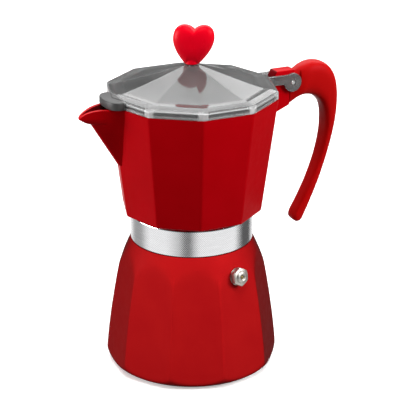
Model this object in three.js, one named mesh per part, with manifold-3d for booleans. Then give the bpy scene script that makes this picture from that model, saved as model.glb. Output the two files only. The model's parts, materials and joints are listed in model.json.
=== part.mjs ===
// Stovetop moka pot: boiler with safety valve, funnel, collector with spout, hinged lid and hook handle.
// Millimetres, +Z up. The origin is the centre of the boiler's underside, and +X points to the handle.
import * as THREE from "three";
import { mergeVertices } from "three/addons/utils/BufferGeometryUtils.js";
import Module from "manifold-3d";

const wasm = await Module();
wasm.setup();

// ---- Driving dimensions -------------------------------------------------------------------------

const FIT = 0.3; // gap between pieces that touch or are pressed together
const RUN = 0.4; // gap between pieces that move past each other

const FACETS = 10; // sides of the boiler, the collector and the lid
const ROUND = 40; // segments of a large circle
const SMALL_ROUND = 16; // segments of a bore, a stem or a pin
const BURY = 0.5; // how far a joined piece of the same body runs into its neighbour

const BOILER = {
  height: 83, // shoulder's top, below the neck
  baseRadius: 54.9, // to the facets' corners
  taper: 2.7, // how far inside the base the side's curve is pulled
  bulgeHeight: 38, // height of that pull
  facetStep: 4.8, // facets' top corner outside the shoulder's top
  facetDrop: 3, // facets' top below the shoulder's top
  footRadius: 9, // rounding of the bottom edge
  firstCorner: 14.6, // degrees from +X to a corner
  wall: 3.2,
  floor: 4,
};
const SHOULDER = { step: 5.4, drop: 33.2, pullOut: 3.1, pullDown: 4.5 }; // outside the neck, and its curve
const NECK = { radius: 33, wall: 3.8, height: 14 };
const THREAD = { pitch: 3, turns: 2, depth: 1.1, rootWidth: 1.6, crestWidth: 0.7, rise: 4, segments: 30 };

const VALVE = {
  angle: -75.4, // degrees from +X
  drop: 14.2, // below the boiler's shoulder
  hex: 10.4, // across flats
  hexHeight: 3.4,
  flat: 1.2, // spot face beyond the hexagon
  washer: 0.9,
  washerEdge: 0.3,
  shank: 4,
  wall: 1.1,
  roof: 0.8, // chamber's top below the hexagon's top
  reach: 6.6, // shank's length inwards from the boiler's surface
  domeHeight: 1.3,
  domeEdge: 1.6, // dome's foot inside the hexagon's corners
  stem: 1,
  seat: 2.2, // flange's underside above the shank's end
  flange: 1,
  travel: 1,
};
const SPRING = { wire: 0.45, turns: 4, steps: 10 };

const FUNNEL = {
  clearance: 1.3, // between the basket and the neck's bore
  basketDepth: 25,
  coneDepth: 6,
  rim: 1.2,
  stemRadius: 5.2,
  stemGap: 4, // stem's open end above the boiler's floor
  wall: 1,
};
const SCREEN = { thickness: 0.9, holeRadius: 0.9, rings: 3, ringStep: 6.2 };
const SEAL = { gap: 1.1, width: 6.9, thickness: 2.8 };
const FILTER = { gap: 3, thickness: 0.9 };

const COLLECTOR = {
  gap: 0.9, // above the boiler's shoulder
  collarWall: 2.45,
  collarHeight: 16.6,
  undercutStep: 1.75, // undercut's foot outside the collar
  undercutWidth: 5.5,
  undercutHeight: 2.2,
  bodyHeight: 72.5,
  rimRadius: 53.7, // to the facets' corners
  wall: 3.2,
  floor: 3.5,
  boss: 5,
  hollow: 3, // radius at the foot of the inside wall
};
const BAND = { thickness: 1.15, gap: 0.5, chamfer: 0.3, chamferHeight: 0.4 };
const COLUMN = {
  bore: 3.4,
  wall: 1.8,
  footWall: 2.9,
  spigotWall: 0.9,
  spigotInset: 0.5,
  drop: 17.2,
  boss: 2,
};
const CAP = { height: 13.5, wall: 1.2, overlap: 4, slack: 0.2, slotWidth: 4, slotHeight: 4.5, slotRise: 3 };

const SPOUT = {
  halfAngle: 25,
  nose: 2.4,
  wall: 2,
  reach: 21, // tip beyond the rim's corner
  root: 11.7, // inner end inside the rim's corner
  dip: 5, // tip below the rim
  dipLength: 14,
  keelDrop: 38.2, // keel's start below the rim
  keelStep: 0.93, // keel's start outside the body's corner
  shoulder: 0.7, // share of a side that keeps straight before the flared nose
  channelLift: 1.3,
};

// The hinge's pin, measured out from the rim's corner and up from the rim.
const PIVOT = { out: 13.2, rise: 1.2, pin: 1.5 };

// The lug's and the ears' edges, measured from the pin.
const LUG = {
  width: 8.6,
  face: 0.9, // face below the step, inwards from the pin
  under: 15, // underside at that face
  rake: 7, // fall of the underside towards the body
  step: 5.1,
  topFace: 2.7, // face above the step, outwards
  top: 7.6,
  corner: 0.8,
  swing: 12.9, // the lid's rim swings just outside this radius
  tenonWidth: 5,
  tenonHeight: 9,
  tenonRise: 3,
  tenonReach: 13.1,
};
const LID = {
  skirt: 5.3,
  shoulderStep: 5.2,
  shoulder: 1.2,
  dome: 12.9,
  lowPull: 12.5, // the dome's curve: its two pulls inwards from the shoulder and their heights
  lowRise: 1.9,
  highPull: 28.5,
  highDrop: 5.4,
  wall: 2,
};
const TONGUE = { halfWidth: 12.6, reach: 5.3, height: 5, corner: 7, root: 13.7 };
const EAR = { radius: 6, thickness: 2.5, top: 5.1, bottom: 0.7, root: 3.6, neck: 3 };

const KNOB = {
  gap: 0.4, // above the lid
  height: 24.3,
  width: 25,
  thickness: 11.4,
  edge: 3, // rounding of the heart's edges
  foot: 8.6,
  neck: 5,
  turn: -33,
  depth: 10,
  lean: 1.7, // how far the lobes stand to one side of the screw
};
const KNOB_SCREW = {
  radius: 1.5,
  clearance: 0.4, // in the knob's bore
  head: 3.6,
  headHeight: 1.8,
  washer: 4.6,
  washerThickness: 0.6,
  washerGap: 1, // below the lid
};

const HANDLE = {
  width: 14.4,
  tipWidth: 12,
  frontStep: 0.4, // wider than the lug at its front
  shoulder: 12, // length over which it widens
  slimFrom: 20, // below the pin, where it starts to slim towards the tip
  slimTo: 90,
  tipRound: 9,
  sides: 12,
  squareness: 2.7,
  earGap: 0.1,
};
const HANDLE_SCREW = { reach: 10.1, radius: 1.5, head: 2.9, headHeight: 2.2, length: 8, ledge: 1.2 };

// ---- Sizes that follow --------------------------------------------------------------------------

const shoulderRadius = NECK.radius + SHOULDER.step;
const waistRadius = shoulderRadius + BOILER.facetStep;
const waistHeight = BOILER.height - BOILER.facetDrop;
const bulgeRadius = BOILER.baseRadius - BOILER.taper;
const neckBore = NECK.radius - NECK.wall;
const neckTop = BOILER.height + NECK.height;
const threadStart = BOILER.height + THREAD.rise;
const threadBore = NECK.radius + THREAD.depth + RUN;
const valveHeight = BOILER.height - VALVE.drop;
const valveBore = VALVE.shank - VALVE.wall;
const springRadius = (VALVE.stem + valveBore) / 2;

const basketRadius = neckBore - FUNNEL.clearance;
const funnelRimRadius = NECK.radius - FIT;
const stemEnd = BOILER.floor + FUNNEL.stemGap;
const sealOuter = threadBore - SEAL.gap;
const sealInner = sealOuter - SEAL.width;
const filterRadius = threadBore - FILTER.gap;

const collarRadius = threadBore + COLLECTOR.collarWall;
const collarBottom = BOILER.height + COLLECTOR.gap;
const collarTop = collarBottom + COLLECTOR.collarHeight;
const undercutRadius = collarRadius + COLLECTOR.undercutStep;
const lowRadius = undercutRadius + COLLECTOR.undercutWidth;
const bodyBottom = collarTop + COLLECTOR.undercutHeight;
const rim = bodyBottom + COLLECTOR.bodyHeight;
const bandBottom = BOILER.height + BAND.gap;
const spigotRadius = COLUMN.bore + COLUMN.spigotWall;
const columnRadius = COLUMN.bore + COLUMN.wall;
const columnFoot = COLUMN.bore + COLUMN.footWall;
const columnTop = rim - COLUMN.drop;

const spoutTip = COLLECTOR.rimRadius + SPOUT.reach;
const spoutRoot = COLLECTOR.rimRadius - SPOUT.root;
const spoutTipHeight = rim - SPOUT.dip;

const pivot = { x: COLLECTOR.rimRadius + PIVOT.out, z: rim + PIVOT.rise };
const lugFace = pivot.x - LUG.face;
const lugTopFace = pivot.x + LUG.topFace;
const lugUnder = pivot.z - LUG.under;
const lugStep = pivot.z - LUG.step;
const lugTop = pivot.z + LUG.top;
const tenonEnd = pivot.x + LUG.tenonReach;
const tenonTop = pivot.z + LUG.tenonRise;
const tenonBottom = tenonTop - LUG.tenonHeight;
const screwPlace = pivot.x + HANDLE_SCREW.reach;
const screwSeat = tenonBottom - HANDLE_SCREW.ledge; // where the handle screw's head bears, below the tenon

const lidBottom = rim + FIT;
const skirtTop = lidBottom + LID.skirt;
const lidShoulder = COLLECTOR.rimRadius - LID.shoulderStep;
const shoulderTop = skirtTop + LID.shoulder;
const apex = shoulderTop + LID.dome;
const tongueReach = COLLECTOR.rimRadius + TONGUE.reach;
const tongueTop = lidBottom + TONGUE.height;
const earTop = pivot.z + EAR.top;
const earBottom = pivot.z - EAR.bottom;
const knobBase = apex + KNOB.gap;
const knobBore = KNOB_SCREW.radius + KNOB_SCREW.clearance;

// ---- Solids -------------------------------------------------------------------------------------

const APOTHEM = Math.cos(Math.PI / FACETS);
const degrees = THREE.MathUtils.degToRad;

function solid(geometry) {
  const plain = geometry.clone();
  plain.deleteAttribute("normal");
  plain.deleteAttribute("uv");
  const merged = mergeVertices(plain, 1e-4);
  return new wasm.Manifold(
    new wasm.Mesh({
      numProp: 3,
      vertProperties: new Float32Array(merged.attributes.position.array),
      triVerts: new Uint32Array(merged.index.array),
    }),
  );
}

function geometryOf(body) {
  const mesh = body.getMesh();
  const geometry = new THREE.BufferGeometry();
  geometry.setAttribute("position", new THREE.BufferAttribute(mesh.vertProperties, 3));
  geometry.setIndex(new THREE.BufferAttribute(mesh.triVerts, 1));
  geometry.computeVertexNormals();
  return geometry;
}

const join = (...geometries) => geometryOf(geometries.map(solid).reduce((a, b) => a.add(b)));
const common = (a, b) => geometryOf(solid(a).intersect(solid(b)));
const cut = (base, ...tools) => geometryOf(tools.map(solid).reduce((a, b) => a.subtract(b), solid(base)));

// A profile of [radius, height] points, going up the outside, turned about Z.
function turned(points, segments = ROUND, corner = 0) {
  const profile = points.map(([radius, height]) => new THREE.Vector2(radius, height));
  return new THREE.LatheGeometry(profile, segments).rotateX(Math.PI / 2).rotateZ(corner + Math.PI / 2);
}

// A turned profile that closes on itself, for rings and tubes.
const turnedRing = (points, segments, corner) => turned([...points, points[0]], segments, corner);

// A round bar along Z.
function bar(radius, bottom, top, segments = SMALL_ROUND) {
  return new THREE.CylinderGeometry(radius, radius, top - bottom, segments)
    .rotateX(Math.PI / 2)
    .translate(0, 0, (bottom + top) / 2);
}

// A shape drawn in X and Z, extruded along Y between two values.
function upright(shape, from, to, curveSegments = 6) {
  return new THREE.ExtrudeGeometry(shape, { depth: to - from, bevelEnabled: false, curveSegments })
    .rotateX(Math.PI / 2)
    .translate(0, to, 0);
}

// A closed skin over rings that each hold the same number of points; the two end rings are capped.
function loft(rings) {
  const count = rings[0].length;
  const points = rings.flat();
  const triangles = [];
  for (let level = 0; level + 1 < rings.length; level++) {
    for (let i = 0; i < count; i++) {
      const a = level * count + i;
      const b = level * count + ((i + 1) % count);
      triangles.push(a, b, b + count, a, b + count, a + count);
    }
  }
  const last = (rings.length - 1) * count;
  for (let i = 1; i + 1 < count; i++) {
    triangles.push(0, i + 1, i, last, last + i, last + i + 1);
  }
  const geometry = new THREE.BufferGeometry().setFromPoints(points);
  geometry.setIndex(triangles);
  return geometry;
}

// A screw thread's ridge on radius `root`; `depth` is positive for an outside thread.
function ridge(root, depth, start) {
  const steps = THREAD.turns * THREAD.segments;
  const buried = -0.4 * Math.sign(depth);
  const rings = [];
  for (let step = 0; step <= steps; step++) {
    const turn = (step / THREAD.segments) * 2 * Math.PI;
    const taper = Math.min(1, Math.min(step, steps - step) / 3 + 0.15);
    const height = start + (THREAD.pitch * step) / THREAD.segments;
    const corner = (radius, offset) =>
      new THREE.Vector3(radius * Math.cos(turn), radius * Math.sin(turn), height + offset);
    const ring = [
      corner(root + buried, -THREAD.rootWidth / 2),
      corner(root + depth * taper, -THREAD.crestWidth / 2),
      corner(root + depth * taper, THREAD.crestWidth / 2),
      corner(root + buried, THREAD.rootWidth / 2),
    ];
    rings.push(depth > 0 ? ring.reverse() : ring);
  }
  return loft(rings);
}

// ---- Boiler -------------------------------------------------------------------------------------

const boilerSide = new THREE.QuadraticBezierCurve(
  new THREE.Vector2(BOILER.baseRadius, BOILER.floor),
  new THREE.Vector2(bulgeRadius, BOILER.bulgeHeight),
  new THREE.Vector2(waistRadius, waistHeight),
);

function boilerFacets() {
  const side = boilerSide.getPoints(8).map((p) => [p.x, p.y]);
  const top = [waistRadius, BOILER.height];
  return turned(
    [[0, 0], [BOILER.baseRadius, 0], ...side, top, [0, BOILER.height]],
    FACETS,
    degrees(BOILER.firstCorner),
  );
}

// The round form that fades the facets out at the foot and at the shoulder.
function boilerRound() {
  const flat = BOILER.baseRadius - BOILER.footRadius;
  const foot = new THREE.EllipseCurve(
    flat, BOILER.footRadius, BOILER.footRadius, BOILER.footRadius, -Math.PI / 2, 0,
  );
  const shoulder = new THREE.QuadraticBezierCurve(
    new THREE.Vector2(bulgeRadius, BOILER.height - SHOULDER.drop),
    new THREE.Vector2(shoulderRadius + SHOULDER.pullOut, BOILER.height - SHOULDER.pullDown),
    new THREE.Vector2(shoulderRadius, BOILER.height),
  );
  const outline = [...foot.getPoints(4), ...shoulder.getPoints(7)].map((p) => [p.x, p.y]);
  return turned([[0, 0], ...outline, [0, BOILER.height]]);
}

function boilerCavity() {
  const side = boilerSide
    .getPoints(6)
    .slice(1, 6)
    .map((p) => [p.x * APOTHEM - BOILER.wall, p.y]);
  const edge = BOILER.baseRadius * APOTHEM - BOILER.wall;
  return turned(
    [
      [0, BOILER.floor],
      [edge - BOILER.footRadius / 2, BOILER.floor],
      [edge, BOILER.floor + BOILER.footRadius / 2],
      ...side,
      [neckBore, BOILER.height],
      [neckBore, neckTop + 1],
      [0, neckTop + 1],
    ],
  );
}

const neckBar = () => turned([[0, BOILER.height - 3], [NECK.radius, BOILER.height - 3],
  [NECK.radius, neckTop],
  [0, neckTop]]);

// Radius of the facets' middles at a height.
function facetRadius(height) {
  const curve = boilerSide.getPoints(60);
  const above = curve.findIndex((p) => p.y >= height);
  const [low, high] = [curve[above - 1], curve[above]];
  const share = (height - low.y) / (high.y - low.y);
  return APOTHEM * (low.x + share * (high.x - low.x));
}

// The valve's own frame: +Z points out of the boiler's wall, square to it.
const valveFrame = new THREE.Matrix4();
{
  const step = 1;
  const lean = Math.atan2(facetRadius(valveHeight - step) - facetRadius(valveHeight + step), 2 * step);
  const radius = facetRadius(valveHeight);
  valveFrame
    .makeRotationZ(degrees(VALVE.angle))
    .multiply(new THREE.Matrix4().makeTranslation(radius, 0, valveHeight))
    .multiply(new THREE.Matrix4().makeRotationY(Math.PI / 2 - lean));
}
const onValve = (geometry) => geometry.applyMatrix4(valveFrame);

function boiler() {
  const outside = common(boilerRound(), boilerFacets());
  const body = join(outside, neckBar(), ridge(NECK.radius, THREAD.depth, threadStart));
  const valveHole = onValve(bar(VALVE.shank + FIT, -2 * VALVE.reach, VALVE.reach));
  const valveFlat = onValve(bar(VALVE.hex / 2 + VALVE.flat, 0, VALVE.reach, ROUND / 2));
  return cut(body, boilerCavity(), valveHole, valveFlat);
}

// ---- Safety valve -------------------------------------------------------------------------------

const valveFace = VALVE.washer + FIT; // underside of the hexagon
const valveTop = valveFace + VALVE.hexHeight;
const pistonFlange = VALVE.seat - VALVE.reach; // underside of the piston's flange

function valveBody() {
  const hexRadius = VALVE.hex / 2 / Math.cos(Math.PI / 6);
  const hex = bar(hexRadius, valveFace, valveTop, 6);
  const domeRadius = hexRadius - VALVE.domeEdge;
  const domeTop = valveTop + VALVE.domeHeight;
  const dome = turned([[0, valveTop - BURY], [domeRadius, valveTop - BURY], [domeRadius, valveTop],
    [valveBore, domeTop], [0, domeTop]], SMALL_ROUND);
  const shank = bar(VALVE.shank, -VALVE.reach, valveFace + BURY);
  const chamber = bar(valveBore, -VALVE.reach - 1, valveTop - VALVE.roof);
  const outlet = bar(VALVE.stem + RUN, 0, valveTop + 2 * VALVE.domeHeight, 12);
  return onValve(cut(join(hex, dome, shank), chamber, outlet));
}

function valveWasher() {
  const inner = VALVE.shank + FIT;
  const outer = VALVE.hex / 2 + VALVE.washerEdge;
  const bottom = FIT / 2;
  const top = VALVE.washer;
  return onValve(turnedRing([[inner, bottom], [outer, bottom], [outer, top], [inner, top]], 24));
}

function valveSeat() {
  const outer = valveBore - FIT;
  const bottom = -VALVE.reach;
  const top = pistonFlange - FIT;
  return onValve(turnedRing([[VALVE.stem, bottom], [outer, bottom], [outer, top], [VALVE.stem, top]], 12));
}

function valvePiston() {
  const flange = valveBore - RUN;
  const top = valveTop + VALVE.domeHeight - FIT;
  const shelf = pistonFlange + VALVE.flange;
  return onValve(turned([[0, pistonFlange], [flange, pistonFlange], [flange, shelf], [VALVE.stem, shelf],
    [VALVE.stem, top], [0, top + FIT]], 12));
}

// The coil stands clear of the flange by the piston's travel.
function valveSpring() {
  const wire = SPRING.wire / 2;
  const bottom = pistonFlange + VALVE.flange + VALVE.travel + FIT + wire;
  const top = valveTop - VALVE.roof - FIT - wire;
  const steps = SPRING.turns * SPRING.steps;
  const rings = [];
  for (let step = 0; step <= steps; step++) {
    const turn = (step / SPRING.steps) * 2 * Math.PI;
    const height = bottom + ((top - bottom) * step) / steps;
    rings.push([0, 1, 2, 3, 4].map((side) => {
      const around = (side / 5) * 2 * Math.PI;
      const radius = springRadius + wire * Math.cos(around);
      const level = height - wire * Math.sin(around);
      return new THREE.Vector3(radius * Math.cos(turn), radius * Math.sin(turn), level);
    }));
  }
  return onValve(loft(rings));
}

// ---- Funnel, seal and filter --------------------------------------------------------------------

const funnelRim = neckTop + FIT; // underside of the funnel's rim
const basketFloor = funnelRim - FUNNEL.basketDepth;
const sealBottom = funnelRim + FUNNEL.rim + FIT;
const filterBottom = sealBottom + SEAL.thickness + FIT;
const seatHeight = filterBottom + FILTER.thickness + FIT; // collector's underside above the filter

function funnel() {
  const { stemRadius, wall } = FUNNEL;
  const coneBottom = basketFloor - FUNNEL.coneDepth;
  const top = funnelRim + FUNNEL.rim;
  return turnedRing([
    [stemRadius - wall, stemEnd],
    [stemRadius, stemEnd],
    [stemRadius, coneBottom],
    [basketRadius, basketFloor],
    [basketRadius, funnelRim],
    [funnelRimRadius, funnelRim],
    [funnelRimRadius, top],
    [basketRadius - wall, top],
    [basketRadius - wall, basketFloor + wall],
    [stemRadius - wall, coneBottom + wall],
  ], 36);
}

// A disc with rings of holes about its centre.
function perforated(radius, bottom, thickness) {
  const disc = bar(radius, bottom, bottom + thickness, 36);
  const holes = [bar(SCREEN.holeRadius, bottom - 1, bottom + thickness + 1, 6)];
  for (let ring = 1; ring <= SCREEN.rings; ring++) {
    for (let i = 0; i < 6 * ring; i++) {
      const around = (i / (6 * ring)) * 2 * Math.PI;
      const place = SCREEN.ringStep * ring;
      const hole = bar(SCREEN.holeRadius, bottom - 1, bottom + thickness + 1, 6);
      holes.push(hole.translate(place * Math.cos(around), place * Math.sin(around), 0));
    }
  }
  return cut(disc, ...holes);
}

const funnelScreen = () =>
  perforated(basketRadius - FUNNEL.wall - FIT, basketFloor + FUNNEL.wall + FIT, SCREEN.thickness);
const filterPlate = () => perforated(filterRadius, filterBottom, FILTER.thickness);

function sealRing() {
  const top = sealBottom + SEAL.thickness;
  return turnedRing([[sealInner, sealBottom], [sealOuter, sealBottom], [sealOuter, top],
    [sealInner, top]], 36);
}

// ---- Collector ----------------------------------------------------------------------------------

const floorTop = seatHeight + COLLECTOR.floor;
const bossTop = floorTop + COLLECTOR.boss;

// Radius of the collector's corners at a height.
const bodyRadius = (height) =>
  THREE.MathUtils.mapLinear(height, bodyBottom, rim, lowRadius, COLLECTOR.rimRadius);

// The keel leaves the body's corner, runs out in a line and then flares into the lip.
const keel = [
  [bodyRadius(rim - SPOUT.keelDrop) + SPOUT.keelStep, rim - SPOUT.keelDrop],
  [spoutTip - 7.7, spoutTipHeight - 4.6],
  [spoutTip - 4.1, spoutTipHeight - 3.2],
  [spoutTip - 0.7, spoutTipHeight - 1.1],
  [spoutTip, spoutTipHeight],
  [spoutTip, rim],
];

// Where the keel's line would be at a height if it did not flare.
const keelLine = (height) =>
  THREE.MathUtils.mapLinear(height, keel[0][1], keel[1][1], keel[0][0], keel[1][0]);

// The spout in plan at one height: a V with a rounded nose, closed inside the body. `inset` moves it inside
// the outer skin and `lift` raises it. The V's sides keep to the keel's line, and only its nose follows the
// flare.
function spoutRing([place, height], inset, lift) {
  const half = degrees(SPOUT.halfAngle);
  const nose = SPOUT.nose - inset;
  const centre = place - inset - nose;
  const line = keelLine(height) - inset - nose;
  const side = (along) => nose / Math.cos(half) + (line - along) * Math.tan(half);
  const shoulder = THREE.MathUtils.lerp(spoutRoot, line, SPOUT.shoulder);
  const at = (along, across) => new THREE.Vector3(-along, across, height + lift);
  const ring = [at(spoutRoot, side(spoutRoot)), at(shoulder, side(shoulder))];
  for (const share of [1, 0.5, 0, -0.5, -1]) {
    const around = share * (Math.PI / 2 - half);
    ring.push(at(centre + nose * Math.cos(around), nose * Math.sin(around)));
  }
  ring.push(at(shoulder, -side(shoulder)), at(spoutRoot, -side(spoutRoot)));
  return ring;
}

const spoutOutside = () => loft(keel.map((point) => spoutRing(point, 0, 0)));

function spoutChannel() {
  const inner = keel.map((point) => spoutRing(point, SPOUT.wall, SPOUT.channelLift));
  inner.push(spoutRing(keel[keel.length - 1], SPOUT.wall, 5));
  return loft(inner);
}

// What is taken off the spout's top, so that its rim dips towards the tip.
function spoutDip() {
  const shape = new THREE.Shape();
  shape.moveTo(-spoutTip - 5, spoutTipHeight - 2);
  shape.lineTo(-spoutTip, spoutTipHeight);
  shape.quadraticCurveTo(SPOUT.dip - spoutTip, rim, SPOUT.dipLength - spoutTip, rim);
  shape.lineTo(SPOUT.dipLength - spoutTip, rim + 10);
  shape.lineTo(-spoutTip - 5, rim + 10);
  return upright(shape, -30, 30, 5);
}

function collectorOutside() {
  const facets = turned([
    [0, collarTop],
    [undercutRadius, collarTop],
    [lowRadius, bodyBottom],
    [COLLECTOR.rimRadius, rim],
    [0, rim],
  ], FACETS);
  const collar = turned([[0, collarBottom], [collarRadius, collarBottom],
    [collarRadius, collarTop + 1], [0, collarTop + 1]]);
  return join(facets, collar);
}

function collectorCavity() {
  const inset = COLLECTOR.wall / APOTHEM;
  const above = rim + 2;
  return turned([
    [0, bossTop],
    [columnFoot + COLUMN.boss, bossTop],
    [sealInner, floorTop],
    [bodyRadius(floorTop) - inset - COLLECTOR.hollow, floorTop],
    [bodyRadius(floorTop + COLLECTOR.hollow) - inset, floorTop + COLLECTOR.hollow],
    [bodyRadius(above) - inset, above],
    [0, above],
  ], FACETS);
}

// The space below the floor: thread bore, seat of the seal, and the cone that leads to the column.
function collectorUnderside() {
  return turned([
    [0, collarBottom - 1],
    [threadBore, collarBottom - 1],
    [threadBore, seatHeight],
    [sealInner, seatHeight],
    [spigotRadius + FIT, bossTop - COLLECTOR.floor],
    [spigotRadius + FIT, bossTop + 1],
    [0, bossTop + 1],
  ]);
}

function lugShape() {
  const low = Math.asin((rim - pivot.z) / LUG.swing);
  const high = Math.asin(LUG.top / LUG.swing);
  const shape = new THREE.Shape();
  const rootHeight = lugUnder - LUG.rake;
  shape.moveTo(bodyRadius(rootHeight) - 2, rootHeight);
  shape.lineTo(lugFace, lugUnder);
  shape.lineTo(lugFace, lugStep);
  shape.lineTo(lugTopFace, lugStep);
  shape.lineTo(lugTopFace, lugTop - LUG.corner);
  shape.lineTo(pivot.x - LUG.swing * Math.cos(high), lugTop);
  shape.absarc(pivot.x, pivot.z, LUG.swing, Math.PI - high, Math.PI - low, false);
  shape.lineTo(COLLECTOR.rimRadius - 2, rim);
  return shape;
}

function tenonShape() {
  const shape = new THREE.Shape();
  shape.moveTo(lugFace - 4, tenonBottom);
  shape.lineTo(tenonEnd, tenonBottom);
  shape.lineTo(tenonEnd, tenonTop);
  shape.lineTo(lugFace - 4, tenonTop);
  return shape;
}

const pinHole = () => bar(PIVOT.pin + FIT, -20, 20, 12).rotateX(Math.PI / 2).translate(pivot.x, 0, pivot.z);

function collector() {
  const lug = upright(lugShape(), -LUG.width / 2, LUG.width / 2);
  const tenon = upright(tenonShape(), -LUG.tenonWidth / 2, LUG.tenonWidth / 2);
  const solidBody = cut(join(collectorOutside(), spoutOutside(), lug), spoutDip());
  const hollow = cut(solidBody, collectorCavity(), spoutChannel(), collectorUnderside());
  const insideStart = threadStart + THREAD.pitch / 2;
  const threaded = join(hollow, tenon, ridge(threadBore, -THREAD.depth, insideStart));
  const screwHole = bar(HANDLE_SCREW.radius + FIT, lugStep - 5, pivot.z + 1, 12).translate(screwPlace, 0, 0);
  return cut(threaded, pinHole(), screwHole);
}

function collarBand() {
  const inner = collarRadius + FIT;
  const top = collarTop - FIT;
  const outer = inner + BAND.thickness;
  const flat = outer - BAND.chamfer;
  const low = bandBottom + BAND.chamferHeight;
  const high = top - BAND.chamferHeight;
  return turnedRing([[inner, bandBottom], [flat, bandBottom], [outer, low], [outer, high], [flat, top],
    [inner, top]]);
}

function coffeeColumn() {
  const bottom = bossTop - COLLECTOR.floor + COLUMN.spigotInset;
  const shelf = bossTop + FIT;
  return turnedRing([[COLUMN.bore, bottom], [spigotRadius, bottom], [spigotRadius, shelf],
    [columnFoot, shelf], [columnRadius, columnTop], [COLUMN.bore, columnTop]], 24);
}

function columnCap() {
  const inner = columnRadius + FIT + CAP.slack;
  const outer = inner + CAP.wall;
  const bottom = columnTop - CAP.overlap;
  const top = bottom + CAP.height;
  const shell = turned([
    [0, top - CAP.wall],
    [inner - 2, top - CAP.wall - 0.6],
    [inner, top - CAP.wall - 2.6],
    [inner, bottom],
    [outer, bottom],
    [outer, top - 3],
    [outer - 2.4, top - 0.7],
    [0, top],
  ], 24);
  const slot = new THREE.BoxGeometry(CAP.slotWidth, 4 * outer, CAP.slotHeight);
  return cut(shell, slot.translate(0, 0, columnTop + CAP.slotRise));
}

// ---- Lid ----------------------------------------------------------------------------------------

// Ogee from the shoulder to the apex, `inset` inside the lid's outer skin.
function lidProfile(inset) {
  const ogee = new THREE.CubicBezierCurve(
    new THREE.Vector2(lidShoulder - 4, shoulderTop + 0.1 - inset),
    new THREE.Vector2(lidShoulder - LID.lowPull, shoulderTop + LID.lowRise - inset),
    new THREE.Vector2(lidShoulder - LID.highPull, apex - LID.highDrop - inset),
    new THREE.Vector2(KNOB.foot / 2, apex - 0.3 - inset),
  );
  const rim = COLLECTOR.rimRadius - inset;
  return [
    [rim, skirtTop - inset],
    [lidShoulder - inset / 3, shoulderTop - inset],
    ...ogee.getPoints(7).map((p) => [p.x, p.y]),
    [0, apex - inset],
  ];
}

function tongueShape(inset) {
  const half = TONGUE.halfWidth - inset;
  const reach = tongueReach - inset;
  const root = COLLECTOR.rimRadius - TONGUE.root;
  const shape = new THREE.Shape();
  shape.moveTo(-root, -half);
  shape.lineTo(-root, half);
  shape.lineTo(TONGUE.corner - reach, half);
  shape.quadraticCurveTo(-reach, half, -reach, 0);
  shape.quadraticCurveTo(-reach, -half, TONGUE.corner - reach, -half);
  return shape;
}

function tongue(inset, bottom) {
  const depth = tongueTop - inset - bottom;
  return new THREE.ExtrudeGeometry(tongueShape(inset), { depth, bevelEnabled: false, curveSegments: 6 })
    .translate(0, 0, bottom);
}

function ear(side) {
  const root = COLLECTOR.rimRadius - EAR.root;
  const shape = new THREE.Shape();
  const bend = Math.asin(-EAR.bottom / EAR.radius);
  shape.moveTo(root, earTop);
  shape.lineTo(root, earBottom);
  shape.lineTo(pivot.x - EAR.radius * Math.cos(bend), earBottom);
  shape.absarc(pivot.x, pivot.z, EAR.radius, Math.PI - bend, 2.5 * Math.PI, false);
  shape.lineTo(pivot.x - EAR.neck, earTop);
  const inner = LUG.width / 2 + FIT;
  return side > 0
    ? upright(shape, inner, inner + EAR.thickness, 14)
    : upright(shape, -inner - EAR.thickness, -inner, 14);
}

function lid() {
  const outside = turned([[0, lidBottom], [COLLECTOR.rimRadius, lidBottom], ...lidProfile(0)], FACETS);
  const below = lidBottom - 1;
  const rim = COLLECTOR.rimRadius - LID.wall;
  const inside = turned([[0, below], [rim, below], ...lidProfile(LID.wall)], FACETS);
  const covered = join(outside, tongue(0, lidBottom));
  const hollow = cut(covered, inside, tongue(LID.wall, below));
  const screwHole = bar(KNOB_SCREW.radius + FIT, apex - 10, apex + 2, 12);
  return cut(join(hollow, ear(1), ear(-1)), pinHole(), screwHole);
}

function knob() {
  const half = KNOB.width / 2;
  const foot = KNOB.foot / 2;
  const lobe = KNOB.height;
  const shape = new THREE.Shape();
  shape.moveTo(-foot, 0);
  shape.lineTo(foot, 0);
  shape.bezierCurveTo(foot + 2.4, 0.14 * lobe, half, 0.4 * lobe, half, 0.66 * lobe);
  shape.bezierCurveTo(half, 0.89 * lobe, 0.76 * half, lobe, 0.49 * half, lobe);
  shape.bezierCurveTo(0.28 * half, lobe, 0.1 * half, 0.95 * lobe, 0, 0.875 * lobe);
  shape.bezierCurveTo(-0.1 * half, 0.95 * lobe, -0.28 * half, lobe, -0.49 * half, lobe);
  shape.bezierCurveTo(-0.76 * half, lobe, -half, 0.89 * lobe, -half, 0.66 * lobe);
  shape.bezierCurveTo(-half, 0.4 * lobe, -foot - 2.4, 0.14 * lobe, -foot, 0);
  const heart = new THREE.ExtrudeGeometry(shape, {
    depth: KNOB.thickness - 2 * KNOB.edge,
    bevelThickness: KNOB.edge,
    bevelSize: KNOB.edge,
    bevelOffset: -KNOB.edge,
    bevelSegments: 3,
    curveSegments: 6,
  });
  const lean = new THREE.Matrix4().makeShear(0, 0, KNOB.lean / KNOB.height, 0, 0, 0);
  heart.applyMatrix4(lean).rotateX(Math.PI / 2).translate(0, KNOB.thickness / 2 - KNOB.edge, knobBase);
  const neck = bar(foot, knobBase, knobBase + KNOB.neck, SMALL_ROUND);
  const bore = bar(knobBore, knobBase - 1, knobBase + KNOB.depth, 12);
  return cut(join(heart, neck), bore).rotateZ(degrees(KNOB.turn));
}

const washerTop = apex - LID.wall - KNOB_SCREW.washerGap;

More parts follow.
